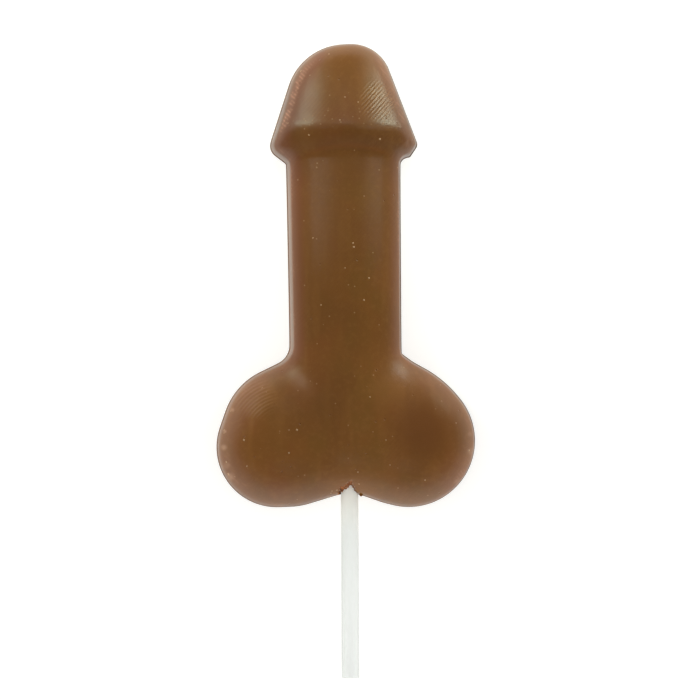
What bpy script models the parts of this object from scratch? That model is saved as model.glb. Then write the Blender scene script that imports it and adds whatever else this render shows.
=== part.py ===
"""Novelty chocolate lollipop: one cast piece of milk chocolate on a paper stick.

Metres, +Z up. The flat back lies on z = 0 and the moulded front faces up. +Y runs from the
stick's free end to the rounded tip, and +X is the right of the front view. The origin is on the
back's plane, under the middle of the whole.
"""
import math
from collections import namedtuple

import bmesh
import bpy
import numpy as np
from mathutils import Matrix
from mathutils.geometry import delaunay_2d_cdt

# Every size below is in millimetres, and a mesh is scaled to metres when it is made.
MM = 0.001

# The outline is a belt that runs anticlockwise round these circles, starting left of the tip.
# It bulges round a circle of positive radius and is hollowed by one of negative radius.
Circle = namedtuple("Circle", "x y radius")
OUTLINE = {
    "tip, left": Circle(0.0, 66.2, 15.6),
    "cap corner, left": Circle(-16.5, 55.4, 3.2),
    "neck, left": Circle(-16.5, 50.2, -1.0),
    "shaft foot, left": Circle(-19.9, 4.0, -5.3),
    "left lobe, shoulder": Circle(-14.4, -19.0, 17.8),
    "left lobe, side": Circle(-17.9, -22.4, 15.6),
    "left lobe, underside": Circle(-15.0, -18.6, 19.3),
    "notch over the stick": Circle(0.8, -46.5, -12.0),
    "right lobe, underside": Circle(14.8, -19.6, 18.0),
    "right lobe, side": Circle(16.3, -20.8, 17.2),
    "right lobe, shoulder": Circle(6.2, -27.9, 29.5),
    "shaft foot, right": Circle(24.8, 11.5, -14.0),
    "shaft foot, right, crease": Circle(15.4, 2.3, -1.0),
    "neck, right": Circle(16.1, 50.4, -2.0),
    "cap corner, right, chip": Circle(16.3, 53.0, 0.5),
    "cap corner, right": Circle(16.7, 55.9, 1.8),
    "tip, right": Circle(1.4, 71.4, 10.5),
}

# The side walls stand almost upright, by the mould's draft. A rounded shoulder begins this far
# inside the edge.
WALL_DRAFT = math.radians(4.0)
WALL_SLOPE = 1.0 / math.tan(WALL_DRAFT)
WALL_FOOT = 0.4

# The shaft is a low arch across. It sinks towards the stick between the two lobes, and dives
# out of sight under the cap.
SHAFT_X = -0.2
SHAFT_HEIGHT = 13.5
SHAFT_ARCH_RADIUS = 30.0
SHAFT_SHOULDER_WIDTH = 5.5
SHAFT_SHOULDER_HEIGHT = 2.2
SHAFT_SINKS_FROM = -5.0
SHAFT_SINKS_TO = -33.0
SHAFT_END_HEIGHT = 7.2
SHAFT_DIVES_FROM = 56.0
SHAFT_DIVE = 0.1

# The cap is an arch across, that narrows and slopes down from its bowed ridge to the tip. Below
# the ridge it curls down to the shaft.
CAP_X = -0.6
CAP_Y = 59.9
CAP_HEIGHT = 17.0
CAP_RIDGE_BOW = 0.0015
CAP_SLOPE = 0.36
CAP_TIP_FALLS_FROM = 70.0
CAP_TIP_FALL = 0.011
CAP_ARCH_RADIUS = 24.5
CAP_ARCH_NARROWS = 0.42
CAP_UNDERSIDE_SLOPE = 0.30
CAP_UNDERSIDE_CURL = 0.042
CAP_UNDERSIDE_FLATTENS = 0.06
CAP_SHOULDER_WIDTH = 3.6
CAP_SHOULDER_HEIGHT = 3.0

# Each lobe is a shallow bowl upside down, rounder towards the stick, with a wide shoulder.
Lobe = namedtuple("Lobe", "x y radius shoulder_height")
LOBES = (Lobe(-16.0, -20.6, 34.0, 5.0), Lobe(15.9, -20.6, 40.0, 4.5))
LOBE_HEIGHT = 14.5
LOBE_FOOT_RADIUS = 22.0
LOBE_SHOULDER_WIDTH = 9.0

# How wide the rounding is where two of these surfaces meet.
RIDGE_BLEND = 1.0
CREASE_BLEND = 1.2
VALLEY_BLEND = 4.0
RIM_BLEND = 1.5

# The stick is a standard 4 1/2 inch one, a little off square to the chocolate.
STICK_DIAMETER = 4.6
STICK_LENGTH = 114.3
STICK_END_Y = -81.9
STICK_X = 0.8
STICK_AXIS_HEIGHT = 3.5
STICK_LEAN = math.radians(0.3)
STICK_CUT_ANGLE = math.radians(5.0)
STICK_RIM_ROUNDING = 0.35
STICK_SIDES = 32
MOUTH_Y = -34.5

# The hole in the chocolate clears the stick by this much all round and at its end.
BORE_CLEARANCE = 0.3
BORE_START_Y = -42.0

# How finely the chocolate's surface is divided.
EDGE_STEP = 1.2
EDGE_TURN = math.radians(18.0)
SHORTEST_EDGE = 0.1
INSETS = (0.22, 0.45, 0.75, 1.15, 1.7, 2.4, 3.2, 4.2, 5.4)
GRID_STEP = 1.6
GRID_CLEARANCE = 1.0
SAME_POINT = 1e-6
RING_TOLERANCE = 0.03
RING_SPACING = 0.65

CHOCOLATE_COLOUR = (0.170, 0.080, 0.033, 1.0)
CHOCOLATE_ROUGHNESS = 0.42
PAPER_COLOUR = (0.82, 0.84, 0.79, 1.0)
PAPER_ROUGHNESS = 0.75


# Outline

def belt_headings(circles):
    """The belt's direction on each straight run, from one circle to the next."""
    headings = []
    for index, here in enumerate(circles):
        there = circles[(index + 1) % len(circles)]
        across = there.x - here.x
        up = there.y - here.y
        swing = math.asin((here.radius - there.radius) / math.hypot(across, up))
        headings.append(math.atan2(up, across) + swing)
    return headings


def belt(circles):
    """Points round the outline as an array of x, y and the heading there."""
    headings = belt_headings(circles)
    corners = []
    for index, circle in enumerate(circles):
        start = headings[index - 1]
        turn = (headings[index] - start + math.pi) % (2.0 * math.pi) - math.pi
        pieces = max(1, math.ceil(max(abs(turn) / EDGE_TURN, abs(turn * circle.radius) / EDGE_STEP)))
        for heading in np.linspace(start, start + turn, pieces + 1):
            x = circle.x + circle.radius * math.sin(heading)
            y = circle.y - circle.radius * math.cos(heading)
            corners.append((x, y, heading))
    points = []
    for corner, following in zip(corners, corners[1:] + corners[:1]):
        run = math.dist(corner[:2], following[:2])
        pieces = max(1, round(run / EDGE_STEP)) if run > SHORTEST_EDGE else 0
        for piece in range(pieces):
            x = corner[0] + (following[0] - corner[0]) * piece / pieces
            y = corner[1] + (following[1] - corner[1]) * piece / pieces
            points.append((x, y, corner[2]))
    return np.array(points)


def distance_to_edge(points, edge):
    """The shortest distance from each point to the closed line through the edge's points."""
    start = edge
    run = np.roll(edge, -1, axis=0) - start
    offset = points[:, None, :] - start[None, :, :]
    share = (offset * run).sum(axis=2) / (run * run).sum(axis=1)
    nearest = offset - np.clip(share, 0.0, 1.0)[:, :, None] * run
    return np.sqrt((nearest * nearest).sum(axis=2)).min(axis=1)


# Relief

def soft_max(a, b, blend):
    """The larger of two heights, with a fillet where they cross."""
    overlap = np.maximum(blend - np.abs(a - b), 0.0) / blend
    return np.maximum(a, b) + overlap * overlap * blend / 4.0


def soft_min(a, b, blend):
    """The smaller of two heights, with a rounding where they cross."""
    return -soft_max(-a, -b, blend)


def shoulder(inset, width, height):
    """How far a rounded shoulder of a quarter ellipse drops towards the wall."""
    near = 1.0 - np.clip((inset - WALL_FOOT) / width, 0.0, 1.0)
    return height * (1.0 - np.sqrt(1.0 - near * near))


def lobe_height(x, y, inset, lobe):
    """A lobe's bowl, less its rounded shoulder."""
    radius_along = np.where(y < lobe.y, LOBE_FOOT_RADIUS, lobe.radius)
    bowl = (x - lobe.x) ** 2 / (2.0 * lobe.radius) + (y - lobe.y) ** 2 / (2.0 * radius_along)
    return LOBE_HEIGHT - bowl - shoulder(inset, LOBE_SHOULDER_WIDTH, lobe.shoulder_height)


def shaft_height(x, y, inset):
    """The arch of the shaft, sinking towards the stick and diving under the cap."""
    sunk = np.maximum(SHAFT_SINKS_FROM - y, 0.0) / (SHAFT_SINKS_FROM - SHAFT_SINKS_TO)
    dived = np.maximum(y - SHAFT_DIVES_FROM, 0.0)
    top = SHAFT_HEIGHT - (SHAFT_HEIGHT - SHAFT_END_HEIGHT) * sunk ** 3 - SHAFT_DIVE * dived ** 2
    top = top - (x - SHAFT_X) ** 2 / (2.0 * SHAFT_ARCH_RADIUS)
    return top - shoulder(inset, SHAFT_SHOULDER_WIDTH, SHAFT_SHOULDER_HEIGHT)


def cap_height(x, y, inset):
    """The cap's sloping arch, that curls down from its ridge to the shaft."""
    across = (x - CAP_X) ** 2
    beyond = y - CAP_Y + CAP_RIDGE_BOW * across
    tip = np.maximum(y - CAP_TIP_FALLS_FROM, 0.0)
    arch_radius = CAP_ARCH_RADIUS - CAP_ARCH_NARROWS * beyond
    dome = CAP_HEIGHT - CAP_SLOPE * beyond - CAP_TIP_FALL * tip ** 2 - across / (2.0 * arch_radius)
    below = np.minimum(beyond, 0.0)
    flatter = np.maximum(1.0 + CAP_UNDERSIDE_FLATTENS * below, 0.0)
    underside = CAP_HEIGHT + CAP_UNDERSIDE_SLOPE * beyond - CAP_UNDERSIDE_CURL * below ** 2
    underside = underside - across * flatter / (2.0 * CAP_ARCH_RADIUS)
    height = soft_min(dome, underside, RIDGE_BLEND)
    return height - shoulder(inset, CAP_SHOULDER_WIDTH, CAP_SHOULDER_HEIGHT)


def relief(x, y, inset):
    """The front's height over the back, at a place and its distance inside the edge."""
    height = soft_max(shaft_height(x, y, inset), cap_height(x, y, inset), CREASE_BLEND)
    for lobe in LOBES:
        height = soft_max(height, lobe_height(x, y, inset, lobe), VALLEY_BLEND)
    return soft_min(height, WALL_SLOPE * inset, RIM_BLEND)


# Chocolate

def ring(outline, inset):
    """The outline moved inwards, without the points that fold over or crowd together."""
    inward = np.stack((-np.sin(outline[:, 2]), np.cos(outline[:, 2])), axis=1)
    moved = outline[:, :2] + inset * inward
    inside = distance_to_edge(moved, outline[:, :2]) > inset - RING_TOLERANCE
    kept = []
    for point in moved[inside]:
        if not kept or math.dist(point, kept[-1]) > RING_SPACING:
            kept.append(point)
    return np.array(kept)


def grid(edge, clearance):
    """A grid of triangles' corners across the outline's box, clear of its edge."""
    low = edge.min(axis=0)
    high = edge.max(axis=0)
    points = []
    for row, y in enumerate(np.arange(low[1], high[1], GRID_STEP * math.sqrt(0.75))):
        for x in np.arange(low[0] + row % 2 * GRID_STEP / 2.0, high[0], GRID_STEP):
            points.append((x, y))
    points = np.array(points)
    return points[distance_to_edge(points, edge) > clearance]


def front_mesh(outline):
    """The triangles of the front, as flat points, their heights and their corners."""
    edge = outline[:, :2]
    flat = [edge]
    ring_edges = []
    count = len(edge)
    for inset in INSETS:
        points = ring(outline, inset)
        flat.append(points)
        ring_edges += [(count + i, count + (i + 1) % len(points)) for i in range(len(points))]
        count += len(points)
    flat.append(grid(edge, INSETS[-1] + GRID_CLEARANCE))
    flat = np.concatenate(flat).tolist()
    result = delaunay_2d_cdt(flat, ring_edges, [list(range(len(edge)))], 1, SAME_POINT)
    corners = np.array([tuple(corner) for corner in result[0]])
    inset = distance_to_edge(corners, edge)
    heights = np.where(inset < RING_TOLERANCE, 0.0, relief(corners[:, 0], corners[:, 1], inset))
    return corners, heights, result[2]


def chocolate_object(outline):
    """The chocolate before its hole is cut: the moulded front over the flat back."""
    corners, heights, triangles = front_mesh(outline)
    form = bmesh.new()
    verts = [form.verts.new((x, y, z)) for (x, y), z in zip(corners, heights)]
    for triangle in triangles:
        form.faces.new([verts[i] for i in triangle])
    outside = [vert for vert in form.verts if not vert.link_faces]
    bmesh.ops.delete(form, geom=outside, context="VERTS")
    rim = [edge for edge in form.edges if edge.is_boundary]
    bmesh.ops.triangulate(form, faces=bmesh.ops.contextual_create(form, geom=rim)["faces"])
    bmesh.ops.recalc_face_normals(form, faces=form.faces)
    return finished_object("chocolate", form)


# Stick

def rod(length, radius):
    """An upright rod standing on the origin."""
    form = bmesh.new()
    bmesh.ops.create_cone(
        form, cap_ends=True, segments=STICK_SIDES, radius1=radius, radius2=radius, depth=length
    )
    bmesh.ops.translate(form, verts=form.verts, vec=(0.0, 0.0, length / 2.0))
    return form


def lay_along_y(form, start_y):
    """Lays an upright rod down towards +Y on the stick's axis, from the given place."""
    lean = Matrix.Rotation(STICK_LEAN, 4, "Z")
    lie_down = Matrix.Rotation(-math.pi / 2.0, 4, "X")
    mouth = Matrix.Translation((STICK_X, MOUTH_Y, STICK_AXIS_HEIGHT))
    start = Matrix.Translation((0.0, start_y - MOUTH_Y, 0.0))
    bmesh.ops.transform(form, matrix=mouth @ lean @ start @ lie_down, verts=form.verts)


def stick_object():
    """The paper rod, cut a little off square at its free end, with both rims rounded."""
    form = rod(STICK_LENGTH, STICK_DIAMETER / 2.0)
    cut_slope = math.tan(STICK_CUT_ANGLE)
    for vert in form.verts:
        if vert.co.z < STICK_LENGTH / 2.0:
            vert.co.z = (vert.co.x + STICK_DIAMETER / 2.0) * cut_slope
    rims = [edge for edge in form.edges if any(len(face.verts) > 4 for face in edge.link_faces)]
    bmesh.ops.bevel(
        form, geom=rims, offset=STICK_RIM_ROUNDING, segments=2, profile=0.5, affect="EDGES", material=-1
    )
    lay_along_y(form, STICK_END_Y)
    return finished_object("stick", form)


def bore_cutter():
    """The space that the stick fills in the chocolate, with its clearance."""
    end_y = STICK_END_Y + STICK_LENGTH + BORE_CLEARANCE
    form = rod(end_y - BORE_START_Y, STICK_DIAMETER / 2.0 + BORE_CLEARANCE)
    lay_along_y(form, BORE_START_Y)
    return finished_object("stick_space", form)


# Objects and materials

def finished_object(name, form):
    """Scales a form to metres and makes it a smooth-shaded object."""
    bmesh.ops.scale(form, vec=(MM, MM, MM), verts=form.verts)
    mesh = bpy.data.meshes.new(name)
    form.to_mesh(mesh)
    form.free()
    mesh.shade_smooth()
    mesh.set_sharp_from_angle(angle=math.radians(50.0))
    thing = bpy.data.objects.new(name, mesh)
    bpy.context.scene.collection.objects.link(thing)
    return thing


def coat(thing, colour, roughness):
    """Gives an object its own material."""
    material = bpy.data.materials.new(thing.name)
    material.use_nodes = True
    shader = material.node_tree.nodes["Principled BSDF"]
    shader.inputs["Base Color"].default_value = colour
    shader.inputs["Roughness"].default_value = roughness
    shader.inputs["Metallic"].default_value = 0.0
    thing.data.materials.append(material)


def cut(thing, cutter):
    """Cuts one object out of another and keeps the cutter as a hidden guide."""
    cutter.hide_render = True
    cutter.display_type = "WIRE"
    hole = thing.modifiers.new("stick hole", "BOOLEAN")
    hole.operation = "DIFFERENCE"
    hole.solver = "EXACT"
    hole.object = cutter


def main():
    for thing in list(bpy.data.objects):
        bpy.data.objects.remove(thing)
    chocolate = chocolate_object(belt(list(OUTLINE.values())))
    coat(chocolate, CHOCOLATE_COLOUR, CHOCOLATE_ROUGHNESS)
    cut(chocolate, bore_cutter())
    coat(stick_object(), PAPER_COLOUR, PAPER_ROUGHNESS)


main()
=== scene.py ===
# %% [markdown]
# # A moulded chocolate on a paper stick
# The real thing is made in three moves. A maker lays a paper stick in the groove of a plastic
# mould, fills the mould with warm milk chocolate, and taps the piece out once it is firm. The mould
# gives the front its soft relief and its leaning walls, and the back is as flat as the chocolate lay.
#
# This file dresses a finished CAD model of that lollipop. The model is loaded first and is never
# moved: it is the frame that every visible piece is fitted to, in metres, with the flat back on the
# floor and the rounded tip towards +Y.

# %% The frame that everything is fitted to
import math
import random

import bmesh
import bpy
from mathutils import Matrix, Vector, noise
from mathutils.bvhtree import BVHTree


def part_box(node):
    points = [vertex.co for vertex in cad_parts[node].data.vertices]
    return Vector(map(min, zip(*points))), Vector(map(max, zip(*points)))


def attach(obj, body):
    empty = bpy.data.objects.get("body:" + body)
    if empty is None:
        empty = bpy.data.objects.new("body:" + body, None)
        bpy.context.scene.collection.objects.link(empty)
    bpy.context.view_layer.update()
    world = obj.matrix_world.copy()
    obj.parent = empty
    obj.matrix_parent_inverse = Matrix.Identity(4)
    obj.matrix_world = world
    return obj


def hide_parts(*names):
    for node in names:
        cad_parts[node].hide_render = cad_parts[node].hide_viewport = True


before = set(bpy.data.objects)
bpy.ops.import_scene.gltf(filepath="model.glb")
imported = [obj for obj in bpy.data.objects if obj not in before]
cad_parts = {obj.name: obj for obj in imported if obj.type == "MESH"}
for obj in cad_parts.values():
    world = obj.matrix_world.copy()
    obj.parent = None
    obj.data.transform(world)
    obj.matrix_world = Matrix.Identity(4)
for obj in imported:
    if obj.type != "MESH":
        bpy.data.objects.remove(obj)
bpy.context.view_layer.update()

MM = 0.001
chocolate_low, chocolate_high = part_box("chocolate")
stick_low, stick_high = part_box("stick")
print("the chocolate is", [round(side / MM, 1) for side in chocolate_high - chocolate_low], "mm")
print("the stick is", [round(side / MM, 1) for side in stick_high - stick_low], "mm")

# %% [markdown]
# ## The camera
# The picture is taken from straight above, a touch from the left, which is why the left wall shows
# a little more than the right one. A long lens from far away keeps the outline true: from close by,
# the high middle of the piece would lean over its own edge.

# %% A camera that looks down on the piece
PHOTO_PIXELS = 700
MM_PER_PIXEL = 0.25882
VIEW_CENTRE = Vector((1.06, 2.67, 0.0)) * MM
VIEW_WIDTH = PHOTO_PIXELS * MM_PER_PIXEL * MM
CAMERA_DISTANCE = 1.20
CAMERA_FROM_LEFT = math.radians(3.0)
SENSOR = 36.0
NEAREST_SEEN = 0.01

camera_data = bpy.data.cameras.new("camera")
camera_data.sensor_fit = "HORIZONTAL"
camera_data.sensor_width = SENSOR
camera_data.lens = SENSOR * CAMERA_DISTANCE / VIEW_WIDTH
camera_data.clip_start = NEAREST_SEEN
camera = bpy.data.objects.new("camera", camera_data)
bpy.context.scene.collection.objects.link(camera)
to_camera = Vector((-math.sin(CAMERA_FROM_LEFT), 0.0, math.cos(CAMERA_FROM_LEFT)))
camera.location = VIEW_CENTRE + CAMERA_DISTANCE * to_camera
camera.rotation_euler = (0.0, -CAMERA_FROM_LEFT, 0.0)
bpy.context.scene.camera = camera
print("lens", round(camera_data.lens, 1), "mm, camera at", [round(c, 3) for c in camera.location])

# %% [markdown]
# ## Nodes written as sums
# A finish is a little calculation that runs at every point of a surface. Clicked together as
# nodes, even a short formula is a tangle, so one small class wraps a node's output and lets Python's
# own + - * / add the Math nodes. Every other node comes from one method that is told the node's
# type, its settings and what goes into its sockets.

# %% A wire that can be added and multiplied
class Wire:
    """The output of a node, which works in sums as a number does."""

    def __init__(self, paint, socket):
        self.paint = paint
        self.socket = socket

    def sum_of(self, operation, *terms):
        sockets = dict(enumerate(terms))
        return self.paint.node("ShaderNodeMath", {"operation": operation}, sockets)

    def __add__(self, other):
        return self.sum_of("ADD", self, other)

    def __radd__(self, other):
        return self.sum_of("ADD", other, self)

    def __sub__(self, other):
        return self.sum_of("SUBTRACT", self, other)

    def __rsub__(self, other):
        return self.sum_of("SUBTRACT", other, self)

    def __mul__(self, other):
        return self.sum_of("MULTIPLY", self, other)

    def __rmul__(self, other):
        return self.sum_of("MULTIPLY", other, self)

    def __truediv__(self, other):
        return self.sum_of("DIVIDE", self, other)

    def __rtruediv__(self, other):
        return self.sum_of("DIVIDE", other, self)

    def __pow__(self, other):
        return self.sum_of("POWER", self, other)

    def __neg__(self):
        return self.sum_of("MULTIPLY", self, -1.0)


print("wires can be added, subtracted, multiplied, divided and raised to a power")

# %% A sheet of nodes, and one method that adds any of them
class Paint:
    """The node tree of a material or of the world."""

    def __init__(self, owner):
        owner.use_nodes = True
        self.owner = owner
        self.tree = owner.node_tree

    def node(self, kind, settings=None, sockets=None, output=0):
        made = self.tree.nodes.new(kind)
        for name, value in (settings or {}).items():
            if name == "stops":
                self.set_stops(made.color_ramp, value)
            else:
                setattr(made, name, value)
        for key, value in (sockets or {}).items():
            self.feed(made.inputs[key], value)
        return Wire(self, made.outputs[output])

    def set_stops(self, ramp, stops):
        while len(ramp.elements) < len(stops):
            ramp.elements.new(1.0)
        for element, (position, colour) in zip(ramp.elements, stops):
            element.position = position
            element.color = (*colour, 1.0)

    def feed(self, socket, value):
        if isinstance(value, Wire):
            self.tree.links.new(value.socket, socket)
        else:
            socket.default_value = value

    def between(self, value, low, high):
        """0 below low, 1 above high, and a soft step from one to the other."""
        sockets = {"Value": value, "From Min": low, "From Max": high}
        return self.node("ShaderNodeMapRange", {"interpolation_type": "SMOOTHSTEP"}, sockets)

    def band(self, value, rise, fall):
        """1 between two soft steps, the first of which goes up and the second down."""
        return self.between(value, *rise) * (1.0 - self.between(value, *fall))

    def mix(self, share, first, second):
        """The first colour where share is 0, and the second where it is 1."""
        sockets = {0: share, 6: first, 7: second}
        return self.node("ShaderNodeMix", {"data_type": "RGBA"}, sockets, output=2)

    def place(self, turn=(0.0, 0.0, 0.0), stretch=(1.0, 1.0, 1.0), centre=(0.0, 0.0, 0.0)):
        """Object coordinates about a centre, turned and stretched."""
        where = self.node("ShaderNodeTexCoord", output="Object")
        settings = {"vector_type": "TEXTURE"}
        moved = self.node("ShaderNodeMapping", settings, {"Vector": where, "Location": centre})
        sockets = {"Vector": moved, "Rotation": turn, "Scale": stretch}
        return self.node("ShaderNodeMapping", {"vector_type": "POINT"}, sockets)

    def clouds(self, where, size, detail=2.0, roughness=0.5):
        """Soft noise from 0 to 1 whose patches are about that size, in metres."""
        sockets = {"Vector": where, "Scale": 1.0 / size, "Detail": detail, "Roughness": roughness}
        return self.node("ShaderNodeTexNoise", None, sockets)

    def bump(self, height):
        """Turns a height in metres into a tilt of the surface."""
        sockets = {"Height": height, "Distance": 1.0, "Strength": 1.0}
        return self.node("ShaderNodeBump", None, sockets)


print("a sheet of nodes for a material or for the world")

# %% A material to start from
def new_finish(name):
    """A material's sheet of nodes and its main shader's sockets."""
    material = bpy.data.materials.new(name)
    paint = Paint(material)
    print("a new finish,", name)
    return paint, paint.tree.nodes["Principled BSDF"].inputs


# %% [markdown]
# ## Light table and softboxes
# The photograph has a pure white ground with no shadow, and that is the clue to its light. The
# piece lay on a bright white surface with white card around it. Every edge turns pale where it
# mirrors that surface at a flat angle, while the middle stays dark because the space over it, where
# the camera is, is dark. Two softboxes beyond the tip leave the two pale patches on the cap.
#
# So the world is a bowl that is bright low down and dark overhead, and area lights stand in it. A
# narrow spread keeps each of them to its own part of the piece. Two softboxes and a faint third one
# light the cap, and two small cards the edges of the shaft. One card is for the bare stick, and a
# dim one beyond the stick's free end lights whatever faces it. In each valley beside the shaft the
# photograph has a bright streak, and a lamp the size of a fingernail or less makes it.
#
# Light that falls on the matt part of a surface is stronger here than light that is mirrored. The
# Light Path node tells the two apart, so the tone and the gloss can be set one by one.

# %% The world: a pale band low down and a dark opening above
HORIZON_LIGHT = 1.15
MATT_EXTRA = 2.75
MATT_OVERHEAD = 0.74
SKY_LEAN = 0.35
world = bpy.data.worlds.new("studio")
bpy.context.scene.world = world
studio = Paint(world)
direction = studio.node("ShaderNodeTexCoord", output="Generated")
height_in_sky = studio.node("ShaderNodeSeparateXYZ", None, {0: direction}, output="Z")
SKY_STOPS = [
    (0.00, (1.00, 1.00, 1.00)),
    (0.12, (0.74, 0.74, 0.74)),
    (0.32, (0.20, 0.20, 0.20)),
    (0.50, (0.05, 0.05, 0.05)),
    (1.00, (0.01, 0.01, 0.01)),
]
sky = studio.node("ShaderNodeValToRGB", {"stops": SKY_STOPS}, {0: height_in_sky})
matt_ray = studio.node("ShaderNodeLightPath", output="Is Diffuse Ray")
towards_tip = studio.node("ShaderNodeSeparateXYZ", None, {0: direction}, output="Y")
bowl = sky * (HORIZON_LIGHT * (1.0 + SKY_LEAN * towards_tip) + MATT_EXTRA * matt_ray)
overhead = MATT_OVERHEAD * matt_ray * height_in_sky
studio.feed(studio.tree.nodes["Background"].inputs["Color"], (1.0, 1.0, 1.0, 1.0))
studio.feed(studio.tree.nodes["Background"].inputs["Strength"], bowl + overhead)
print("world band", HORIZON_LIGHT, "at the horizon")

# %% Area lights, placed by where they stand in the sky
CAP_MIDDLE = Vector((-0.6, 68.0, 12.0)) * MM
WHOLE_MIDDLE = Vector((0.0, 0.0, 10.0)) * MM
SHAFT_LEFT = Vector((-7.0, 44.0, 12.5)) * MM
SHAFT_RIGHT = Vector((8.0, 54.0, 12.0)) * MM
VALLEY_LEFT = Vector((-12.2, -5.2, 11.6)) * MM
VALLEY_RIGHT = Vector((13.2, -2.9, 11.1)) * MM
BARE_STICK = Vector((0.3, -62.0, 4.6)) * MM
SOFTBOX_TINT = (0.88, 1.00, 0.80)
CARD_WHITE = (1.0, 1.0, 1.0)
FULL_SPREAD = 180.0


def area_light(name, aim, azimuth, elevation, distance, width, height, radiance, spread, tint):
    """A rectangle of light that faces aim; azimuth runs from +Y towards +X, in degrees."""
    flat = math.cos(math.radians(elevation))
    towards = Vector((
        flat * math.sin(math.radians(azimuth)),
        flat * math.cos(math.radians(azimuth)),
        math.sin(math.radians(elevation)),
    ))
    data = bpy.data.lights.new(name, "AREA")
    data.shape = "RECTANGLE"
    data.size = width
    data.size_y = height
    data.color = tint
    data.spread = math.radians(spread)
    data.energy = radiance * math.pi * width * height
    if spread < FULL_SPREAD:
        half = data.spread / 2.0
        data.energy = data.energy * (math.tan(half) - half) / math.tan(half)
    light = bpy.data.objects.new(name, data)
    bpy.context.scene.collection.objects.link(light)
    light.location = aim + distance * towards
    light.rotation_euler = towards.to_track_quat("Z", "Y").to_euler()
    light.visible_camera = False
    print(name, "gives", round(data.energy, 2), "W")


# Each row has a name, what the light faces, its azimuth and elevation, its distance, width and
# height, its radiance, its spread in degrees and its tint.
LIGHTS = [
    ("softbox.left", CAP_MIDDLE, -52.0, 32.0, 0.30, 0.13, 0.15, 21.5, 24.0, SOFTBOX_TINT),
    ("softbox.right", CAP_MIDDLE, 56.0, 25.0, 0.30, 0.10, 0.13, 31.0, 24.0, SOFTBOX_TINT),
    ("softbox.top", CAP_MIDDLE, 0.0, 62.0, 0.30, 0.12, 0.10, 4.5, 24.0, CARD_WHITE),
    ("card.left", SHAFT_LEFT, -88.0, 64.0, 0.30, 0.03, 0.03, 56.0, 6.0, CARD_WHITE),
    ("card.right", SHAFT_RIGHT, 88.0, 58.0, 0.35, 0.05, 0.05, 46.0, 6.0, CARD_WHITE),
    ("card.below", WHOLE_MIDDLE, 180.0, 10.0, 0.16, 0.50, 0.08, 0.05, FULL_SPREAD, CARD_WHITE),
    ("card.stick", BARE_STICK, 180.0, 60.0, 0.30, 0.03, 0.03, 64.0, 14.0, CARD_WHITE),
    ("glint.left", VALLEY_LEFT, -42.0, 52.0, 0.20, 0.003, 0.008, 1700.0, 1.5, CARD_WHITE),
    ("glint.right", VALLEY_RIGHT, 50.0, 35.0, 0.20, 0.014, 0.014, 560.0, 3.0, CARD_WHITE),
]
for row in LIGHTS:
    area_light(*row)

# %% The bright table
TABLE_HALF = 2.0
TABLE_GLOW = 1.35
TABLE_MATT_EXTRA = 3.1
TABLE_WHITE = (0.50, 0.50, 0.49, 1.0)
TABLE_ROUGHNESS = 0.9
table_shape = bmesh.new()
bmesh.ops.create_grid(table_shape, x_segments=2, y_segments=2, size=TABLE_HALF)
table_mesh = bpy.data.meshes.new("table")
table_shape.to_mesh(table_mesh)
table_shape.free()
table = bpy.data.objects.new("table", table_mesh)
bpy.context.scene.collection.objects.link(table)
table_paint, table_sockets = new_finish("white_table")
table_paint.feed(table_sockets["Base Color"], TABLE_WHITE)
table_paint.feed(table_sockets["Roughness"], TABLE_ROUGHNESS)
table_matt_ray = table_paint.node("ShaderNodeLightPath", output="Is Diffuse Ray")
table_glow = TABLE_GLOW + TABLE_MATT_EXTRA * table_matt_ray
sockets = {0: TABLE_WHITE[:3], "Scale": table_glow}
glow_colour = table_paint.node("ShaderNodeVectorMath", {"operation": "SCALE"}, sockets)
table_paint.feed(table_sockets["Emission Color"], glow_colour)
table_paint.feed(table_sockets["Emission Strength"], 1.0)
table_mesh.materials.append(table_paint.owner)
bpy.context.scene.view_settings.view_transform = "Standard"
print("the table is", 2.0 * TABLE_HALF, "m wide and glows, so that its white shows as pure white")

# %% [markdown]
# ## Milk chocolate
# A cast of milk chocolate has a satin skin: the mould was smooth but not polished. Seen close, it
# has the faint strokes that the cutter left in the mould, a few pin-prick bubbles, pale specks of
# milk fat and a tone that wanders a little. All of it is far too fine to model, so it is painted:
# strokes, pits and specks as tiny heights in a Bump, and the rest as colour and roughness.
#
# Some marks and some painted light belong to one part of the relief, such as the painted copper glint
# along the left shoulder. For these the mesh carries an attribute called lean, the direction that the
# surface faced before it was smoothed. Another, called broken, is 1 where the skin has been chipped
# off, and a third, thin_lip, is 1 on the thin lip round the back.
#
# A pattern's size is given in metres, and a soft step called between turns part of it into a mask.
# Each mask then mixes one more tone over those before it, from the broad drifts to the fine specks.
# Some of these tones are painted light and shade: a warm tint on the shoulders, a darker cap, shade in
# the crease, in some patches and in the pits, a glint, a sheen on the strokes, and the lip's light
# and shade.

# %% The chocolate's colour
choco, choco_sockets = new_finish("milk_chocolate")
choco_place = choco.place()
DRAGGED = (1.0, 0.12, 1.0)
HUE_STRETCH = (1.0, 0.5, 1.0)
HUE_CENTRE = (40 * MM, 0.0, 0.0)
BROAD_PATCH = 14 * MM
FINE_PATCH = 1.2 * MM
DRAGGED_PATCH = 2.6 * MM
HUE_PATCH = 9 * MM
broad = choco.clouds(choco_place, size=BROAD_PATCH, detail=2.0)
fine = choco.clouds(choco_place, size=FINE_PATCH, detail=3.0)
drag = choco.clouds(choco.place(stretch=DRAGGED), size=DRAGGED_PATCH, detail=1.0)
DARK_COCOA = (0.146, 0.0490, 0.0, 1.0)
MID_COCOA = (0.166, 0.056, 0.0005, 1.0)
PALE_COCOA = (0.205, 0.078, 0.007, 1.0)
OLIVE_COCOA = (0.146, 0.0565, 0.0, 1.0)
WARM_COCOA = (0.168, 0.050, 0.001, 1.0)
tone = choco.mix(choco.between(broad, 0.35, 0.68), DARK_COCOA, MID_COCOA)
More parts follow.
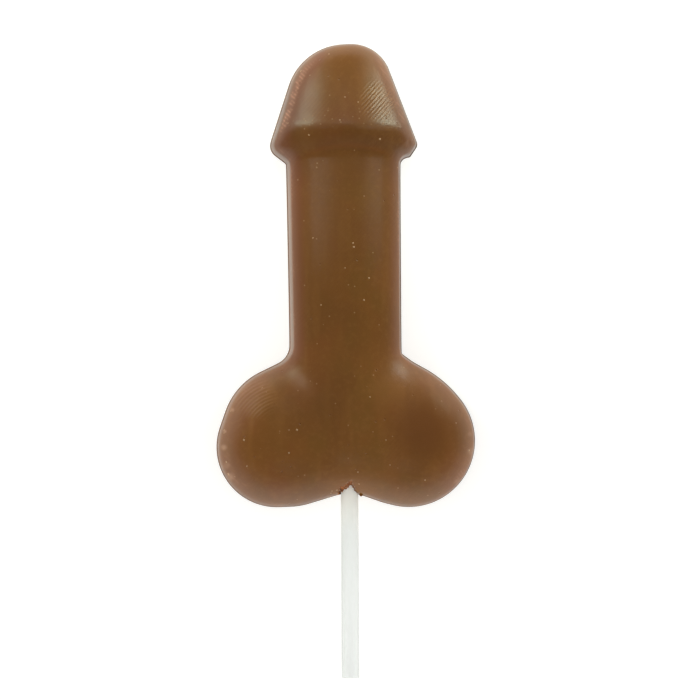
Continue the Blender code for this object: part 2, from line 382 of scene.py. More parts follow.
hue_place = choco.place(stretch=HUE_STRETCH, centre=HUE_CENTRE)
hue_drift = choco.clouds(hue_place, size=HUE_PATCH)
tone = choco.mix((1.0 - choco.between(hue_drift, 0.32, 0.48)) * 0.7, tone, OLIVE_COCOA)
tone = choco.mix(choco.between(hue_drift, 0.52, 0.68) * 0.7, tone, WARM_COCOA)
tone = choco.mix(choco.between(fine, 0.45, 0.80) * 0.45, tone, PALE_COCOA)
tone = choco.mix(choco.between(drag, 0.50, 0.75) * 0.30, tone, PALE_COCOA)
print("the palest cocoa tone is", round(PALE_COCOA[0] / DARK_COCOA[0], 2), "times the darkest")

# %% Where the skin leans, and painted warm light on its shoulders
lean = choco.node("ShaderNodeAttribute", {"attribute_name": "lean"}, output="Vector")
lean_x = choco.node("ShaderNodeSeparateXYZ", None, {0: lean}, output="X")
lean_z = choco.node("ShaderNodeSeparateXYZ", None, {0: lean}, output="Z")
along = choco.node("ShaderNodeSeparateXYZ", None, {0: choco_place}, output="Y")
shoulder = choco.band(lean_z, (0.36, 0.52), (0.82, 0.92))
left_shoulder = shoulder * choco.between(-lean_x, 0.25, 0.45)
right_shoulder = shoulder * choco.between(lean_x, 0.35, 0.55)
# Painted light: a reddish tone on the steep shoulders stands for the warm light that they give back,
# strongest on the left, where the light comes from, and weaker on the lobes.
SHOULDER_LIGHT_RED = (0.158, 0.040, 0.003, 1.0)
LEAST_RED = 0.35
off_lobes = LEAST_RED + (1.0 - LEAST_RED) * choco.between(along, -8 * MM, 4 * MM)
tone = choco.mix((left_shoulder * 0.75 + right_shoulder * 0.30) * off_lobes, tone, SHOULDER_LIGHT_RED)
print("the reddest tone is", SHOULDER_LIGHT_RED[:3])

# %% A round patch that fades out
def within(paint, centre, inner, outer):
    """1 near a centre, fading to 0 between two radii, in millimetres."""
    apart = paint.place(centre=Vector((*centre, 0.0)) * MM)
    sockets = {0: apart, 1: (1.0, 1.0, 0.0)}
    flat = paint.node("ShaderNodeVectorMath", {"operation": "MULTIPLY"}, sockets)
    away = paint.node("ShaderNodeVectorMath", {"operation": "LENGTH"}, {0: flat}, output="Value")
    return 1.0 - paint.between(away, inner * MM, outer * MM)


print("a patch has a centre, a radius where it is full and one where it ends")

# %% Painted light and shade along the piece: paler lobes and a darker cap
# The share of the length from FROM_Y to TO_Y, and how bright the chocolate is there. The stops
# are painted light and shade: they darken the upper shaft and the cap, which the softboxes light
# strongly, darken the band under the cap's rim most for the shade there, and lift the lobes.
LENGTHWISE_LIGHT_STOPS = [
    (0.00, (0.94, 0.94, 0.94)),
    (0.035, (1.02, 1.02, 1.02)),
    (0.08, (1.12, 1.12, 1.12)),
    (0.22, (1.12, 1.12, 1.12)),
    (0.32, (1.00, 1.00, 1.00)),
    (0.52, (0.89, 0.89, 0.89)),
    (0.63, (0.90, 0.90, 0.90)),
    (0.71, (0.75, 0.75, 0.75)),
    (0.79, (0.73, 0.73, 0.73)),
    (0.90, (0.99, 0.99, 0.99)),
]
FROM_Y = -35 * MM
TO_Y = 90 * MM
share_of_length = (along - FROM_Y) / (TO_Y - FROM_Y)
lengthwise_light = choco.node("ShaderNodeValToRGB", {"stops": LENGTHWISE_LIGHT_STOPS}, {0: share_of_length})
tone = choco.node("ShaderNodeVectorMath", {"operation": "MULTIPLY"}, {0: tone, 1: lengthwise_light})
print(len(LENGTHWISE_LIGHT_STOPS), "stops along", round((TO_Y - FROM_Y) / MM), "mm")

# %% Painted shade in the crease under the cap's rim
DEEP_COCOA = (0.150, 0.044, 0.0, 1.0)
across = choco.node("ShaderNodeSeparateXYZ", None, {0: choco_place}, output="X")
RIM_FOOT = 55.0 * MM
RIM_FOOT_BOW = 20.0
RIM_MIDDLE = (0.0, 55.0)
CREASE_SHADE_STRENGTH = 0.45
# Painted shade: a thin dark bow is mixed in along the crease under the rim, where shade falls.
off_rim = along - (RIM_FOOT - RIM_FOOT_BOW * (across * across))
rim_crease_shade = choco.band(off_rim, (-0.9 * MM, -0.1 * MM), (0.1 * MM, 1.2 * MM))
rim_crease_shade = rim_crease_shade * within(choco, RIM_MIDDLE, 8.0, 13.0)
tone = choco.mix(rim_crease_shade * CREASE_SHADE_STRENGTH, tone, DEEP_COCOA)
print("the crease is", RIM_FOOT / MM, "mm up the piece")

# %% Patches of tone, of painted shade and of a painted reflection
SHADED_COCOA = (0.120, 0.040, 0.0, 1.0)
# Each row has a place to the right and up, two radii, all in millimetres, a strength and a tone.
# The SHADED_COCOA rows are painted shade on the left of the shaft and round the left valley. The pale
# row at 9.4 mm right and 8 mm down is a painted reflection, the faint streak that runs down from the
# right valley. The other rows make the chocolate paler or darker in places.
TONE_AND_LIGHT_PATCHES = [
    (19.0, -17.0, 2.0, 13.0, 0.80, DEEP_COCOA),
    (9.4, -8.0, 1.0, 6.0, 0.45, PALE_COCOA),
    (1.0, -34.0, 2.0, 10.0, 0.40, PALE_COCOA),
    (-9.5, 16.0, 3.0, 17.0, 0.30, SHADED_COCOA),
    (-8.0, 33.0, 3.0, 16.0, 0.26, SHADED_COCOA),
    (-9.0, -9.0, 3.0, 15.0, 0.38, SHADED_COCOA),
]
for right, up, inner, outer, strength, cocoa in TONE_AND_LIGHT_PATCHES:
    tone = choco.mix(within(choco, (right, up), inner, outer) * strength, tone, cocoa)
print(len(TONE_AND_LIGHT_PATCHES), "drifts of tone")

# %% Creamy spots where the rims of the lobes have rubbed
CREAM = (0.36, 0.20, 0.105, 1.0)
RUBBED_ABOVE = (4.5 * MM, 6.5 * MM)
# Each row has a place to the right and up, a radius, all in millimetres, and a strength.
RUBBED_SPOTS = [
    (-31.8, -22.3, 1.1, 0.42),
    (-31.5, -18.2, 0.6, 0.50),
    (-29.6, -12.7, 0.7, 0.40),
    (-31.0, -27.0, 1.2, 0.25),
    (-30.2, -29.9, 1.5, 0.40),
    (31.7, -23.4, 1.4, 0.30),
    (31.5, -19.0, 0.9, 0.20),
    (28.3, -31.2, 1.2, 0.20),
]
height_above = choco.node("ShaderNodeSeparateXYZ", None, {0: choco_place}, output="Z")
off_wall = choco.between(height_above, *RUBBED_ABOVE)
for right, up, reach, strength in RUBBED_SPOTS:
    rubbed = off_wall * within(choco, (right, up), 0.2 * reach, reach)
    tone = choco.mix(rubbed * (strength * (0.3 + 1.2 * fine)), tone, CREAM)
print(len(RUBBED_SPOTS), "rubbed spots")

# %% [markdown]
# ## Marks that the mould left
# A cutter ground the form of the mould, and its path shows in the cast as fine ridges: straight ones
# on the cap and the right lobe, round ones on the left lobe. Where they catch the softboxes they are
# painted paler, and on the steep shoulders the light that they catch is painted in as short
# copper-coloured ticks. Small bubbles leave pits, and grains of milk fat leave specks.
#
# Each pattern comes from a texture node, a Wave for the ridges and a Voronoi for the dots, so it stays
# sharp at any size. A mask, mostly a round patch, keeps it to the place where the photograph has it.

# %% Ridges in lines and in rings
WAVE_LENGTH = math.pi / 10.0


def strokes(paint, angle, pitch):
    """Fine parallel ridges from 0 to 1, that run at an angle from +X, in degrees."""
    where = paint.place(turn=(0.0, 0.0, math.radians(90.0 - angle)))
    sockets = {"Vector": where, "Scale": WAVE_LENGTH / pitch, "Distortion": 0.6}
    settings = {"wave_type": "BANDS", "bands_direction": "X"}
    return paint.node("ShaderNodeTexWave", settings, sockets, output="Fac")


def rings(paint, centre, pitch):
    """Fine round ridges from 0 to 1 about a centre, given in millimetres."""
    where = paint.place(centre=Vector((*centre, 0.0)) * MM)
    sockets = {"Vector": where, "Scale": WAVE_LENGTH / pitch, "Distortion": 0.4}
    settings = {"wave_type": "RINGS", "rings_direction": "Z"}
    return paint.node("ShaderNodeTexWave", settings, sockets, output="Fac")


print("a wave texture of scale 1 repeats every", round(WAVE_LENGTH, 3), "m")

# %% The cutter's strokes on the cap and the lobes, painted paler where they catch the softboxes
STROKE_PITCH = 0.82 * MM
STROKE_ANGLE = 48.0
CAP_RIGHT = (7.2, 66.5)
CAP_LEFT = (-9.0, 65.0)
LOBE_RIGHT = (10.9, -22.7)
LOBE_LEFT = (-24.0, -10.0)
RINGS_MIDDLE = (-16.0, -20.6)
patchy = choco.between(choco.clouds(choco_place, size=9 * MM, detail=1.0), 0.44, 0.60)
right_patch = within(choco, CAP_RIGHT, 3.0, 6.5)
right_patch = right_patch * (0.55 + 0.45 * choco.between(fine, 0.40, 0.62))
left_patch = within(choco, CAP_LEFT, 2.0, 5.0)
cut = strokes(choco, STROKE_ANGLE, STROKE_PITCH)
right_lobe = within(choco, LOBE_RIGHT, 1.5, 5.0)
ridges = cut * (1.15 * right_patch + 0.25 * left_patch + 0.15 * patchy + 0.45 * right_lobe)
left_lobe = within(choco, LOBE_LEFT, 2.0, 7.0) * rings(choco, RINGS_MIDDLE, STROKE_PITCH)
ridges = ridges + 1.1 * left_lobe
# Partly painted highlight: the strokes are real ridges, raised in the height below, and mixing them
# paler in colour, most on the cap's right patch and on the left lobe where the softboxes show, paints
# the sheen that they catch.
tone = choco.mix(ridges * 0.5, tone, PALE_COCOA)
print("strokes every", STROKE_PITCH / MM, "mm")

# %% Painted copper glint on the shoulders
TICK_PITCH = 0.85 * MM
TICK_ANGLE = 135.0
on_cap = choco.band(along, (57 * MM, 61 * MM), (71 * MM, 77 * MM))
ticks = 0.3 + 0.7 * strokes(choco, TICK_ANGLE, TICK_PITCH) ** 2.0
spotty = choco.between(choco.clouds(choco_place, size=1.6 * MM, detail=1.0), 0.36, 0.60)
crest = choco.band(lean_z, (0.42, 0.54), (0.62, 0.72))
glint_left = choco.between(-lean_x, 0.35, 0.55) * (0.25 * patchy + 0.75 * on_cap)
glint_right = choco.between(lean_x, 0.45, 0.65) * 0.4 * patchy
# Painted highlight: the light that the steep shoulders catch is mixed into the colour as copper ticks,
# strongest on the left shoulder of the cap.
glints = ticks * (0.15 + 0.85 * spotty) * crest * (glint_left + glint_right)
PAINTED_GLINT_COPPER = (0.330, 0.146, 0.070, 1.0)
tone = choco.mix(glints * 0.85, tone, PAINTED_GLINT_COPPER)
print("glints every", TICK_PITCH / MM, "mm")

# %% Pin-prick bubbles and pale specks
SOFT_EDGE = 0.01


def dots(paint, where, spacing, radius, share):
    """1 inside small round dots that fill some of the cells of an uneven grid."""
    sockets = {"Vector": where, "Scale": 1.0 / spacing}
    distance = paint.node("ShaderNodeTexVoronoi", None, sockets, output="Distance")
    chance = paint.node("ShaderNodeTexVoronoi", None, sockets, output="Color")
    chosen = paint.node("ShaderNodeSeparateColor", None, {0: chance}, output="Red")
    picked = paint.between(chosen, 1.0 - share - SOFT_EDGE, 1.0 - share)
    reach = radius / spacing
    return picked * (1.0 - paint.between(distance, 0.4 * reach, reach))


BUBBLES = (11.2, 61.8)
GRAIN_STRENGTH = 0.6
SPECK_COLOUR = (0.42, 0.25, 0.12, 1.0)
pits = dots(choco, choco_place, spacing=2.4 * MM, radius=0.30 * MM, share=0.20)
cluster = dots(choco, choco_place, spacing=0.9 * MM, radius=0.28 * MM, share=0.45)
pits = pits + cluster * within(choco, BUBBLES, 0.8, 2.6)
specks = dots(choco, choco_place, spacing=1.6 * MM, radius=0.26 * MM, share=0.13)
grain = dots(choco, choco_place, spacing=1.0 * MM, radius=0.34 * MM, share=0.45)
grain_band = choco.band(along, (59 * MM, 61 * MM), (63 * MM, 66 * MM))
specks = specks + GRAIN_STRENGTH * grain * grain_band
tone = choco.mix(specks * 0.4, tone, SPECK_COLOUR)
# Painted shade: the pits are dented in the height below and also darkened in colour for the shade
# inside them.
tone = choco.mix(pits * 0.5, tone, DARK_COCOA)
print("pits, specks and a band of grain above the cap's rim")

# %% [markdown]
# ## Lip, raw chocolate and gloss
# Three things follow the mesh and not a place. The thin lip round the back has painted light and
# shade: it is pale on its left side, as if it mirrored the bright table, and dark on its right, where
# it shades itself. Where the skin has broken off, the chocolate inside is warmer, grainy and dull. And
# all the marks together tilt the surface a little, which a Bump node works out from one height, so
# that the gloss breaks up as it does on the real piece.

# %% The lip and the broken skin
broken = choco.node("ShaderNodeAttribute", {"attribute_name": "broken"}, output="Fac")
thin_lip = choco.node("ShaderNodeAttribute", {"attribute_name": "thin_lip"}, output="Fac")
# Painted light and shade on the lip: LIT_LIP where it faces left, SHADED_LIP where it faces right.
LIT_LIP = (0.285, 0.215, 0.165, 1.0)
SHADED_LIP = (0.060, 0.024, 0.004, 1.0)
faces_right = choco.between(lean_x, 0.1, 0.7)
lip_tone = choco.mix(faces_right, LIT_LIP, SHADED_LIP)
tone = choco.mix(thin_lip * (0.4 + 0.4 * faces_right), tone, lip_tone)
RAW_COCOA = (0.330, 0.090, 0.004, 1.0)
RAW_SHADE = (0.130, 0.032, 0.002, 1.0)
grainy = choco.clouds(choco_place, size=0.5 * MM, detail=2.0)
raw_tone = choco.mix(choco.between(grainy, 0.42, 0.58), RAW_SHADE, RAW_COCOA)
choco.feed(choco_sockets["Base Color"], choco.mix(broken, tone, raw_tone))
print("the lip is", round(LIT_LIP[0] / SHADED_LIP[0], 1), "times as bright on its lit side")

# %% The height of it all, and the gloss
STROKE_HEIGHT = 0.034 * MM
SKIN_HEIGHT = 0.016 * MM
GLINT_HEIGHT = 0.02 * MM
PIT_DEPTH = 0.10 * MM
SPECK_HEIGHT = 0.02 * MM
RAW_HEIGHT = 0.15 * MM
SATIN = 0.33
COCOA_IOR = 1.52
skin = choco.clouds(choco_place, size=0.45 * MM, detail=3.0, roughness=0.6)
height = ridges * STROKE_HEIGHT + skin * SKIN_HEIGHT + glints * GLINT_HEIGHT
height = height - pits * PIT_DEPTH + specks * SPECK_HEIGHT + broken * grainy * RAW_HEIGHT
worn = 1.0 - choco.between(along, -12 * MM, 30 * MM)
choco.feed(choco_sockets["Normal"], choco.bump(height))
choco.feed(choco_sockets["Roughness"], SATIN + 0.08 * fine + 0.02 * worn + 0.45 * broken)
choco.feed(choco_sockets["IOR"], COCOA_IOR)
print("chocolate finish:", len(choco.tree.nodes), "nodes")

# %% [markdown]
# ## The cast chocolate
# The CAD model has the right form but is cut into flat triangles. A copy of it is merged into one
# skin, and a Subdivision Surface turns the triangles into one smooth relief. Edges that are truly
# sharp are creased first, so that the smoothing leaves them alone.
#
# The real cast has two things that the CAD model leaves out. Chocolate creeps a hair's breadth
# outwards along the flat top of the mould, which leaves a thin lip round the back. In the photograph
# it is a fine line round the foot of the walls, pale where it faces the left or the stick, and dark
# on the right. The camera looks from the left, so the right wall would hide its own lip: the skin
# above the lip is drawn in there by a sixth of a millimetre. And the skin over the stick is thin, so
# it has broken away there in a small V. A hole cut with a Boolean would leave clean edges, so the V is
# made by cutting the skin finer and pressing its corners down to a line that noise has made ragged.

# %% Helpers that copy a CAD node and finish a shape
MERGE = 1e-6


def merged_copy(node):
    """A bmesh of a CAD node, with its loose triangles joined."""
    shape = bmesh.new()
    shape.from_mesh(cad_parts[node].data)
    bmesh.ops.remove_doubles(shape, verts=shape.verts, dist=MERGE)
    return shape


def make_piece(name, shape, finish, node=None, levels=0):
    """Turns a bmesh into a piece that rides on the CAD model and may stand for a node."""
    for face in shape.faces:
        face.smooth = True
    mesh = bpy.data.meshes.new(name)
    shape.to_mesh(mesh)
    shape.free()
    mesh.materials.append(finish)
    piece = bpy.data.objects.new(name, mesh)
    bpy.context.scene.collection.objects.link(piece)
    if levels:
        smoothing = piece.modifiers.new("smooth", "SUBSURF")
        smoothing.levels = levels
        smoothing.render_levels = levels
    if node:
        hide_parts(node)
    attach(piece, "root")
    print(name, "has", len(mesh.polygons), "faces before smoothing")
    return piece


# %% The stick's axis, from the CAD stick
stick_form = merged_copy("stick")
stick_middle = (stick_low.y + stick_high.y) / 2.0


def middle_of(corners):
    """The middle of some vertices."""
    return sum((corner.co for corner in corners), Vector()) / len(corners)


free_end = middle_of([v for v in stick_form.verts if v.co.y < stick_middle])
sunk_end = middle_of([v for v in stick_form.verts if v.co.y > stick_middle])
stick_form.free()
stick_direction = (sunk_end - free_end).normalized()
stick_radius = (stick_high.z - stick_low.z) / 2.0
print("the stick is", round(2.0 * stick_radius / MM, 2), "mm thick, its axis runs", stick_direction[:])


def beside_stick(point):
    """A point's place seen along the stick: to its right and above its axis."""
    offset = point - free_end
    offset = offset - offset.dot(stick_direction) * stick_direction
    return offset.x, offset.z


def from_axis(point):
    """How far a point is from the stick's axis."""
    return math.hypot(*beside_stick(point))


# %% The cast's skin, with the stick's hole taken off
cast = merged_copy("chocolate")
cast.normal_update()
HOLE_MARGIN = 0.42 * MM
HOLE_REACH = stick_radius + HOLE_MARGIN
HOLE_END = sunk_end.y + 1.0 * MM


def in_hole(point):
    """Whether a point is on the wall or the floor of the stick's hole."""
    return from_axis(point) < HOLE_REACH and point.y < HOLE_END


hole = [f for f in cast.faces if all(in_hole(v.co) for v in f.verts)]
bmesh.ops.delete(cast, geom=hole, context="FACES")
mouth = [v for v in cast.verts if v.is_boundary]
GRIP = 0.12 * MM
for corner in mouth:
    right, above = beside_stick(corner.co)
    closer = (stick_radius - GRIP) / math.hypot(right, above) - 1.0
    corner.co.x += right * closer
    corner.co.z += above * closer
print(len(hole), "faces of the hole left out,", len(mouth), "corners drawn in to the stick")

# %% The skin over the stick, cut finer
NEAR_STICK = 4.2 * MM
MOUTH_Y = min(corner.co.y for corner in mouth)
MOUTH_REACH = 5.0 * MM
LOWEST_CUT = 2.0 * MM


def near_mouth(point):
    """Whether a point is in the skin over the stick."""
    right, _ = beside_stick(point)
    at_mouth = point.y < MOUTH_Y + MOUTH_REACH
    return at_mouth and abs(right) < NEAR_STICK and point.z > LOWEST_CUT


close_edges = [e for e in cast.edges if all(near_mouth(v.co) for v in e.verts)]
bmesh.ops.subdivide_edges(cast, edges=close_edges, cuts=2)
bmesh.ops.triangulate(cast, faces=[f for f in cast.faces if len(f.verts) > 3])
print(len(close_edges), "edges over the stick cut in three")

# %% The V that has broken out of it
APEX = Vector((0.35, 2.70)) * MM
LEFT_LEG = Vector((-2.45, 0.55)) * MM
RIGHT_LEG = Vector((2.15, -0.30)) * MM
LEFT_SLOPE = 2.8
RIGHT_SLOPE = 8.0
BREAK_ROUGHNESS = 0.30 * MM
BREAK_GRAIN = 0.8 * MM
BREAK_REACH = stick_radius + 0.4 * MM
RIGHT_RAWNESS = 0.3
UNDERCUT = 0.40 * MM
broken_layer = cast.verts.layers.float.new("broken")
for corner in cast.verts:
    right, above = beside_stick(corner.co)
    if not near_mouth(corner.co) or abs(right) > BREAK_REACH or above < 0.0:
        continue
    leg = LEFT_LEG if right < APEX.x else RIGHT_LEG
    slope = LEFT_SLOPE if right < APEX.x else RIGHT_SLOPE
    share = (right - APEX.x) / (leg.x - APEX.x)
    edge_y = MOUTH_Y + APEX.y + share * (leg.y - APEX.y)
    beyond = corner.co.y - edge_y + BREAK_ROUGHNESS * noise.noise(corner.co / BREAK_GRAIN)
    stick_top = math.sqrt(max(stick_radius ** 2 - right ** 2, 0.0))
    limit = stick_top + max(slope * beyond, -UNDERCUT)
    if above > limit:
        corner.co.z -= above - limit
        corner[broken_layer] = 1.0 if right < APEX.x else RIGHT_RAWNESS
print("the break reaches", round(APEX.y / MM, 2), "mm in from the mouth")

# %% The back and the walls, parted along the foot
FLAT = 0.999
thin_layer = cast.verts.layers.float.new("thin_lip")
cast.normal_update()
back = {f for f in cast.faces if f.normal.z < -FLAT and f.calc_center_median().z < MERGE}
foot = [e for e in cast.edges if len(back.intersection(e.link_faces)) == 1]
bmesh.ops.split_edges(cast, edges=foot)
cast.normal_update()
on_floor = [e for e in cast.edges if e.is_boundary and all(v.co.z < MERGE for v in e.verts)]
wall_foot = [e for e in on_floor if e.link_faces[0].normal.z > -FLAT]
back_edge = [e for e in on_floor if e.link_faces[0].normal.z < -FLAT]
print("the back has", len(back_edge), "edges and the walls", len(wall_foot))

# %% The lip round the back
LIP_WIDTH = 0.26 * MM
LIP_TOP = 0.32 * MM
LIP_EDGE = 0.18 * MM
RIGHT_TUCK = 0.17 * MM
for corner in cast.verts:
    if corner.co.z > LIP_TOP and not near_mouth(corner.co):
        corner.co.x -= RIGHT_TUCK * max(corner.normal.x, 0.0)
for corner in {v for e in wall_foot for v in e.verts}:
    inwards = -Vector((corner.normal.x, corner.normal.y, 0.0)).normalized()
    corner.co += inwards * LIP_WIDTH
    corner.co.z = LIP_TOP
raised = bmesh.ops.extrude_edge_only(cast, edges=back_edge)["geom"]
lip_corners = [item for item in raised if isinstance(item, bmesh.types.BMVert)]
lip_edges = [item for item in raised if isinstance(item, bmesh.types.BMEdge)]
lip_edges = [e for e in lip_edges if all(v in set(lip_corners) for v in e.verts)]
bmesh.ops.translate(cast, verts=lip_corners, vec=(0.0, 0.0, LIP_EDGE))
for corner in {v for e in back_edge + wall_foot for v in e.verts}.union(lip_corners):
    corner[thin_layer] = 1.0
bmesh.ops.bridge_loops(cast, edges=lip_edges + wall_foot)
bmesh.ops.recalc_face_normals(cast, faces=cast.faces)
print("a lip", LIP_WIDTH / MM, "mm wide and", LIP_TOP / MM, "mm high")

# %% Creases, and the direction that the skin faces
SHARP = math.radians(50.0)
cast.normal_update()
crease = cast.edges.layers.float.new("crease_edge")
for edge in cast.edges:
    if len(edge.link_faces) == 2 and edge.calc_face_angle(0.0) > SHARP:
        edge[crease] = 1.0
lean_layer = cast.verts.layers.float_vector.new("lean")
for corner in cast.verts:
    corner[lean_layer] = corner.normal
chocolate = make_piece("cast_chocolate", cast, choco.owner, node="chocolate", levels=2)

# %% [markdown]
# ## Specks of milk fat
# About forty pale specks can be told apart in the photograph. They are grains of milk fat and
# sugar that came to rest against the mould, and each is a real little lump in the skin. A helper
# sends a ray from the camera through a point of the picture and finds where it meets the chocolate,
# so a speck can be placed where the eye sees it.

# %% From a point of the picture to a point of the skin
skin_tree = BVHTree.FromObject(chocolate, bpy.context.evaluated_depsgraph_get())
right_hand = camera.rotation_euler.to_matrix() @ Vector((1.0, 0.0, 0.0))
upwards = camera.rotation_euler.to_matrix() @ Vector((0.0, 1.0, 0.0))


def seen_at(across, down):
    """The place and the normal of the skin that shows at a pixel of the photograph."""
    x = (across - PHOTO_PIXELS / 2.0) * MM_PER_PIXEL * MM
    y = (PHOTO_PIXELS / 2.0 - down) * MM_PER_PIXEL * MM
    target = VIEW_CENTRE + x * right_hand + y * upwards
    place, normal, _, _ = skin_tree.ray_cast(camera.location, (target - camera.location).normalized())
    return place, normal


LUMP_GRAIN = 0.9


def lump(shape, place, normal, radius, flatness, roughness):
    """Adds a rough little lump of that radius, pressed flat along its normal."""
    turn = normal.to_track_quat("Z", "Y").to_matrix().to_4x4()
    press = Matrix.Diagonal((1.0, 1.0, flatness, 1.0))
    matrix = Matrix.Translation(place) @ turn @ press
    made = bmesh.ops.create_icosphere(shape, subdivisions=2, radius=radius, matrix=matrix)
    for corner in made["verts"]:
        outwards = corner.co - place
        corner.co += outwards * roughness * noise.noise(corner.co / (LUMP_GRAIN * radius))


print("one pixel of the photograph is", MM_PER_PIXEL, "mm")

# %% Pale specks in the skin
FAT_SPECKS = [
    (329, 54), (301, 71), (380, 139), (309, 135), (345, 97), (358, 102), (340, 120),
    (313, 238), (353, 243), (354, 247), (345, 268), (321, 305), (364, 196), (364, 300),
    (369, 278), (289, 430), (297, 430), (244, 440), (289, 453), (247, 466), (386, 440),
    (390, 465), (358, 472), (398, 488), (456, 423), (370, 397), (262, 388), (425, 480),
    (359, 484), (334, 494), (331, 493), (337, 490), (332, 491),
]
RIM_FLECKS = [
    (224.2, 430.0), (224.0, 433.0), (230.8, 411.0), (226.5, 462.0), (228.5, 474.0), (468.8, 450.5),
]
FAT_DARK = (0.30, 0.17, 0.075, 1.0)
FAT_PALE = (0.42, 0.26, 0.13, 1.0)
RANDOM_SEED = 11
fat, fat_sockets = new_finish("milk_fat")
fat_clouds = fat.clouds(fat.place(), size=0.3 * MM)
fat.feed(fat_sockets["Base Color"], fat.mix(fat_clouds, FAT_DARK, FAT_PALE))
fat.feed(fat_sockets["Roughness"], 0.45 + 0.1 * fat_clouds)
random.seed(RANDOM_SEED)
speck_shape = bmesh.new()


def add_specks(pixels, smallest, largest, flatness, roughness):
    """Puts a lump where each pixel of a list shows the skin, with a radius in millimetres."""
    for pixels_across, pixels_down in pixels:
        place, normal = seen_at(pixels_across, pixels_down)
        if place is not None:
            radius = random.uniform(smallest, largest) * MM
            lump(speck_shape, place, normal, radius, flatness, roughness)


add_specks(FAT_SPECKS, smallest=0.14, largest=0.26, flatness=0.35, roughness=0.5)
add_specks(RIM_FLECKS, smallest=0.12, largest=0.30, flatness=0.25, roughness=0.8)
print(len(FAT_SPECKS) + len(RIM_FLECKS), "specks")
make_piece("fat_specks", speck_shape, fat.owner)

# %% [markdown]
# ## The crumbs at the mouth
# Where the skin has broken, its edge is raw: orange-brown crumbs hang along the left side of the V,
# and a dark bead of chocolate sits at the foot of the right side. A broken surface scatters more
# light than a cast one, so it looks warmer and paler and has no gloss.
#
# Each crumb is a small ball that noise has made rough. Chance picks its place beside the V, and a ray
# sent down from above finds how high the chocolate or the stick is there, so that no crumb floats.

# %% The finish of broken chocolate
raw, raw_sockets = new_finish("raw_chocolate")
raw_clouds = raw.clouds(raw.place(), size=0.35 * MM, detail=2.0)
CRUMB_DARK = (0.155, 0.045, 0.010, 1.0)
CRUMB_PALE = (0.420, 0.180, 0.060, 1.0)
crumb_tone = raw.mix(raw.between(raw_clouds, 0.35, 0.65), CRUMB_DARK, CRUMB_PALE)
raw.feed(raw_sockets["Base Color"], crumb_tone)
raw.feed(raw_sockets["Roughness"], 0.60 + 0.15 * raw_clouds)
print("raw chocolate is", round(CRUMB_PALE[0] / MID_COCOA[0], 1), "times as bright as its skin")

# %% Raw crumbs along the left side of the V
CRUMBS = 26
CLEARANCE = 5.0 * MM
MOUTH_SHARE = 0.45


def above_skin(x, y):
    """The top of the chocolate or the stick at a place, and the direction that it faces."""
    high = Vector((x, y, chocolate_high.z + CLEARANCE))
    place, normal, _, _ = skin_tree.ray_cast(high, Vector((0.0, 0.0, -1.0)))
    right, _ = beside_stick(Vector((x, y, free_end.z)))
    if abs(right) < stick_radius:
        top = free_end.z + math.sqrt(stick_radius ** 2 - right ** 2)
        if place is None or top > place.z:
            place = Vector((x, y, top))
            normal = Vector((right, 0.0, top - free_end.z)).normalized()
    return place, normal


crumb_shape = bmesh.new()
leg_run = LEFT_LEG - APEX
axis_x = free_end.x + (sunk_end.x - free_end.x) * MOUTH_SHARE
for number in range(CRUMBS):
    share = random.uniform(0.05, 1.35)
    spread = random.gauss(0.10, 0.22) * MM
    x = axis_x + APEX.x + share * leg_run.x
    y = MOUTH_Y + APEX.y + share * leg_run.y + spread
    place, normal = above_skin(x, y)
    if place is not None:
        radius = random.uniform(0.10, 0.30) * MM
        lump(crumb_shape, place, normal, radius, flatness=0.75, roughness=0.9)
make_piece("raw_crumbs", crumb_shape, raw.owner)

# %% The bead at the right of the mouth
BEAD_RADIUS = 0.48 * MM
BEAD_FROM_AXIS = Vector((2.55, 0.0, 1.2)) * MM
BEAD_OUT = 0.10 * MM
BEAD_FACING = Vector((0.0, -1.0, 0.3)).normalized()
bead_shape = bmesh.new()
axis_at_mouth = Vector((free_end.x, MOUTH_Y - BEAD_OUT, free_end.z))
bead_place = axis_at_mouth + BEAD_FROM_AXIS
lump(bead_shape, bead_place, BEAD_FACING, BEAD_RADIUS, flatness=0.8, roughness=0.5)
make_piece("mouth_bead", bead_shape, choco.owner)

# %% [markdown]
# ## Paper
# The stick is paper wound tight: a strip is rolled round itself and pressed smooth. It is almost
# white with a breath of grey-green, slightly mottled by its fibres, and it has taken up a little
# cocoa butter where it enters the chocolate. At its ends the windings show as fine rings.
#
# The photograph shows it evenly white. The glowing table would bleach its sides, its underside and
# its ends, so an attribute called upward tells how far each part faces up, and the tone is held back
# where that is little. Next to the chocolate, which hides part of the table, it is held back less.
#
# A plain cylinder would do for the shape. Here each corner is drawn in a little more than the one
# before it, which leaves the small step where the strip ends, and each end is inset ring by ring.

# %% The paper's finish
paper, paper_sockets = new_finish("rolled_paper")
paper_place = paper.place()
fibres = paper.clouds(paper.place(stretch=(1.0, 0.25, 1.0)), size=0.35 * MM, detail=3.0)
PAPER_WHITE = (0.95, 0.975, 0.94, 1.0)
PAPER_GREY = (0.90, 0.93, 0.88, 1.0)
PAPER_GREASE = (0.95, 0.93, 0.83, 1.0)
SHADOW = (0.0, 0.0, 0.0, 1.0)
GREASE_REACH = 11.0 * MM
SIDE_LIGHT = 1.5
UNDER_LIGHT = 2.0
SHELTERED_REACH = 16.0 * MM
SHELTER = 0.6
FIBRE_HEIGHT = 0.01 * MM
sheet_tone = paper.mix(paper.between(fibres, 0.35, 0.75) * 0.5, PAPER_WHITE, PAPER_GREY)
up_stick = paper.node("ShaderNodeSeparateXYZ", None, {0: paper_place}, output="Y")
greased = paper.between(up_stick, MOUTH_Y - GREASE_REACH, MOUTH_Y)
blotch = paper.clouds(paper_place, size=2.2 * MM, detail=2.0)
sheet_tone = paper.mix(greased * (0.45 + 0.5 * blotch), sheet_tone, PAPER_GREASE)
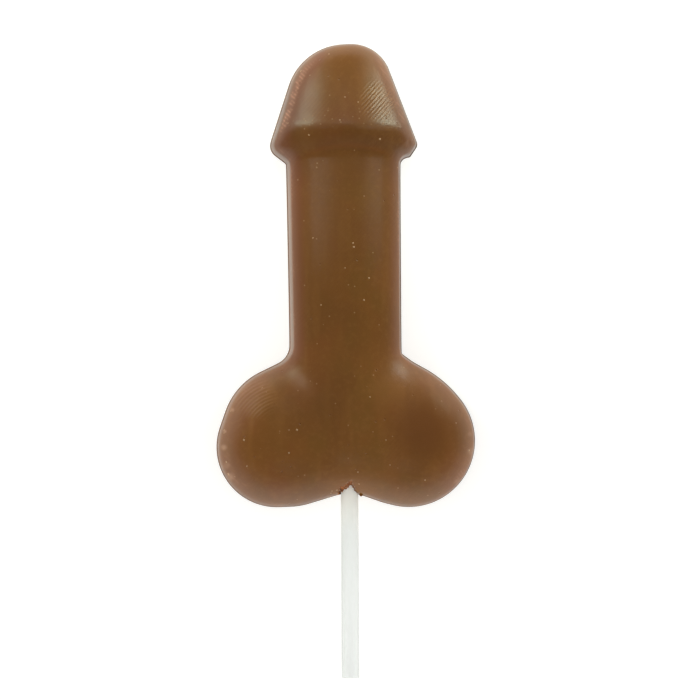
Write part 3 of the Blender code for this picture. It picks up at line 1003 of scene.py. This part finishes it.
sideways = 1.0 - paper.node("ShaderNodeAttribute", {"attribute_name": "upward"}, output="Fac")
table_light = SIDE_LIGHT * sideways + UNDER_LIGHT * paper.between(sideways, 1.0, 2.0)
near_cocoa = paper.between(up_stick, MOUTH_Y - SHELTERED_REACH, MOUTH_Y)
table_light = table_light * (1.0 - SHELTER * near_cocoa)
sheet_tone = paper.mix(1.0 - 1.0 / (1.0 + table_light), sheet_tone, SHADOW)
paper.feed(paper_sockets["Base Color"], sheet_tone)
paper.feed(paper_sockets["Roughness"], 0.70 + 0.10 * fibres)
paper.feed(paper_sockets["Normal"], paper.bump(fibres * FIBRE_HEIGHT))
print("grease reaches", GREASE_REACH / MM, "mm down the stick")

# %% A stick rolled from a strip
SIDES = 64
PAPER_LAYER = 0.22 * MM
PAPER_STEP = 0.07 * MM
LAYERS = 8
SEAM_ANGLE = math.radians(66.0)
END_FACING = -0.35
stick_length = stick_high.y - stick_low.y
roll = bmesh.new()
bmesh.ops.create_cone(
    roll,
    cap_ends=True,
    segments=SIDES,
    radius1=stick_radius,
    radius2=stick_radius,
    depth=stick_length,
)
for corner in roll.verts:
    turned = (math.atan2(corner.co.y, corner.co.x) - SEAM_ANGLE) % (2.0 * math.pi)
    shrink = 1.0 - PAPER_STEP / stick_radius * turned / (2.0 * math.pi)
    corner.co.x *= shrink
    corner.co.y *= shrink
ends = [f for f in roll.faces if len(f.verts) > 4]
for end in ends:
    for layer in range(LAYERS):
        depth = PAPER_STEP if layer % 2 else -PAPER_STEP
        bmesh.ops.inset_region(roll, faces=[end], thickness=0.0, depth=depth)
        narrower = 1.0 - PAPER_LAYER / (stick_radius - layer * PAPER_LAYER)
        bmesh.ops.scale(roll, vec=(narrower, narrower, 1.0), verts=end.verts)
print(LAYERS, "windings show at each end")

# %% Laid along the CAD stick
OUTER_SHEET = stick_radius - 1.5 * PAPER_STEP
quarter = Matrix.Rotation(math.radians(-90.0), 4, "X")
heading = Matrix.Rotation(-math.atan2(stick_direction.x, stick_direction.y), 4, "Z")
stick_centre = (stick_low + stick_high) / 2.0
laid = Matrix.Translation(stick_centre) @ heading @ quarter
bmesh.ops.transform(roll, matrix=laid, verts=roll.verts)
upward = roll.verts.layers.float.new("upward")
for corner in roll.verts:
    right, above = beside_stick(corner.co)
    on_side = math.hypot(right, above) > OUTER_SHEET
    corner[upward] = above / stick_radius if on_side else END_FACING
roll.normal_update()
for edge in roll.edges:
    edge.smooth = edge.calc_face_angle(0.0) < SHARP
make_piece("paper_stick", roll, paper.owner, node="stick")
